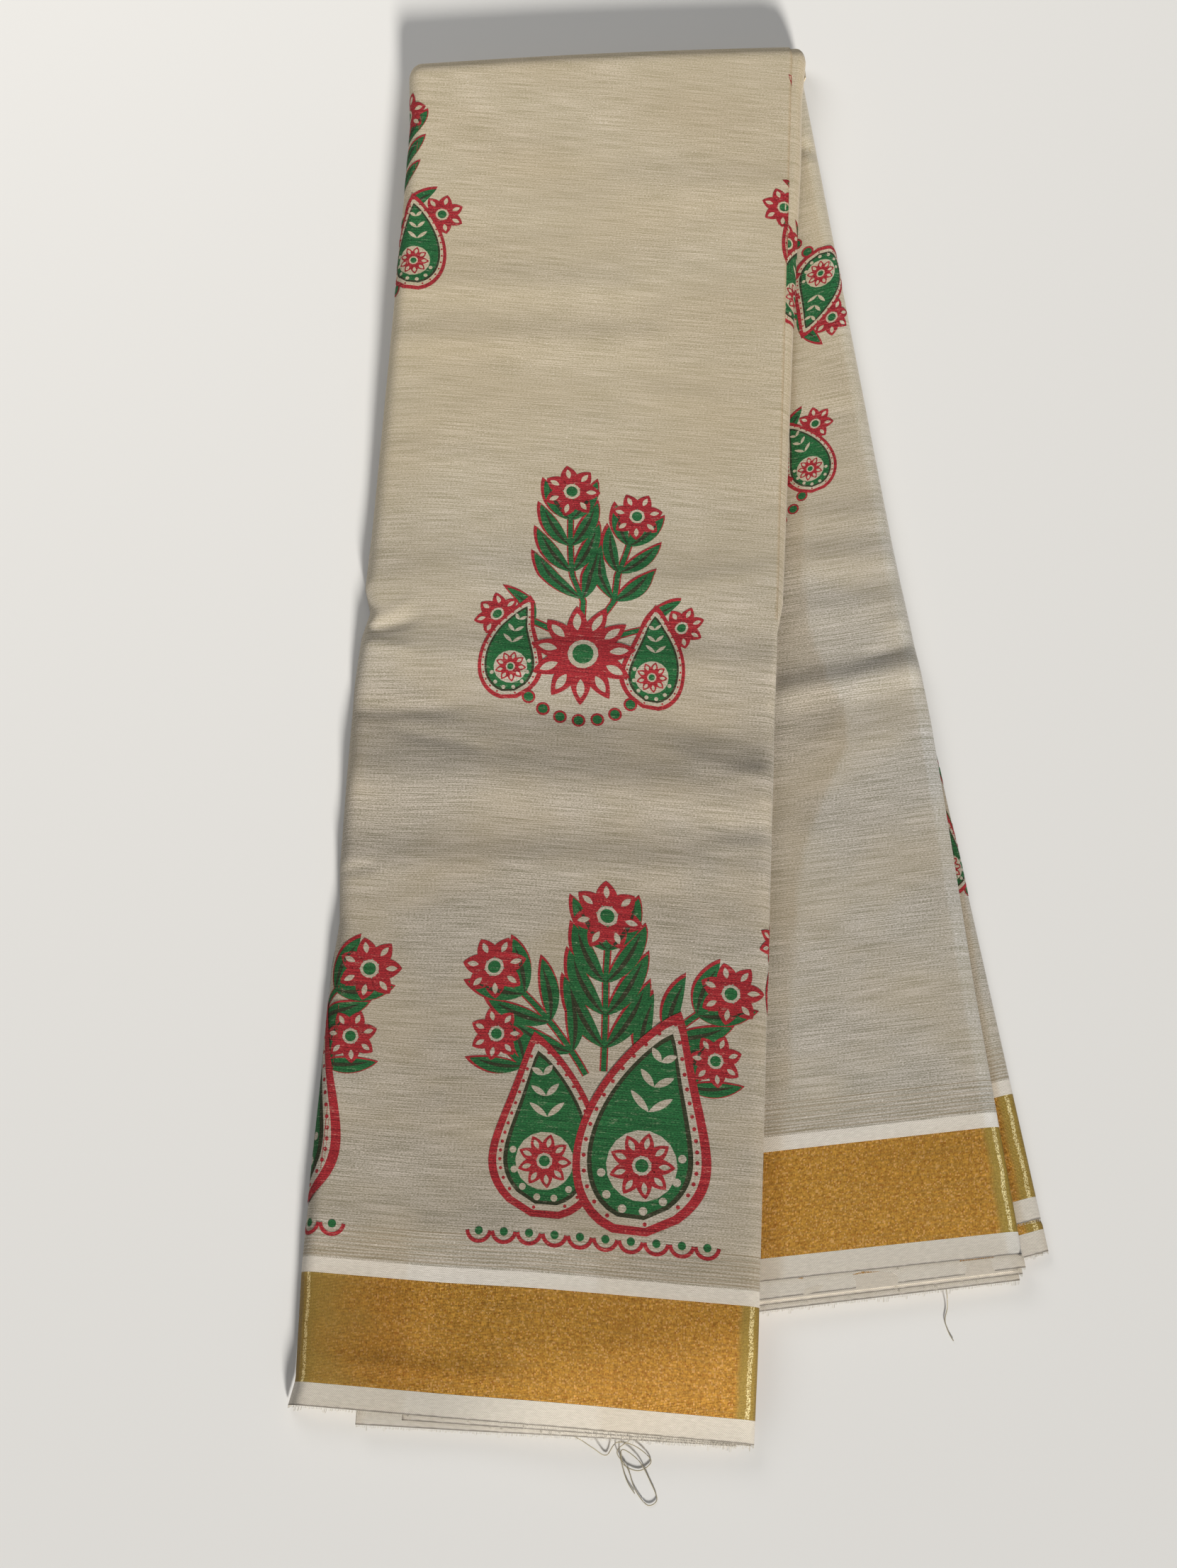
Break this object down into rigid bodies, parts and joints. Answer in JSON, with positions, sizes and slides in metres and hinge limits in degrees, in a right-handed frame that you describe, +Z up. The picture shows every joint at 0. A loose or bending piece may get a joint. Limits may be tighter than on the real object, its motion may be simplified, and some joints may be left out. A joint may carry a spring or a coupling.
{
  "type": "folded saree",
  "caption": "Cotton saree with a woven gold border, folded flat in leaves and doubled over at a top fold, its back half fanned out beneath the front half.",
  "frame": {"origin": "centre of the bounding box's bottom face, on the surface that the saree lies on", "axes": "+Y runs from the border towards the top fold, +X across to the fanned-out back half, +Z up"},
  "size_m": [0.2855, 0.6064, 0.0197],
  "materials": {
    "kora_cotton": "matte unbleached cotton with fine crosswise ribs",
    "white_selvedge": "matte off-white twill",
    "gold_zari": "glittering gold thread in a fine grid weave"
  },
  "bodies": {
    "root": {"front_leaf": "kora_cotton", "front_second_leaf": "kora_cotton", "front_third_selvedge": "white_selvedge", "back_leaf": "kora_cotton", "back_second_selvedge": "white_selvedge", "back_third_selvedge": "white_selvedge", "back_fourth_selvedge": "white_selvedge", "offset_leaf": "kora_cotton", "offset_second_leaf": "gold_zari", "under_leaf": "kora_cotton", "hidden_layers": "kora_cotton"}
  },
  "joints": []
}
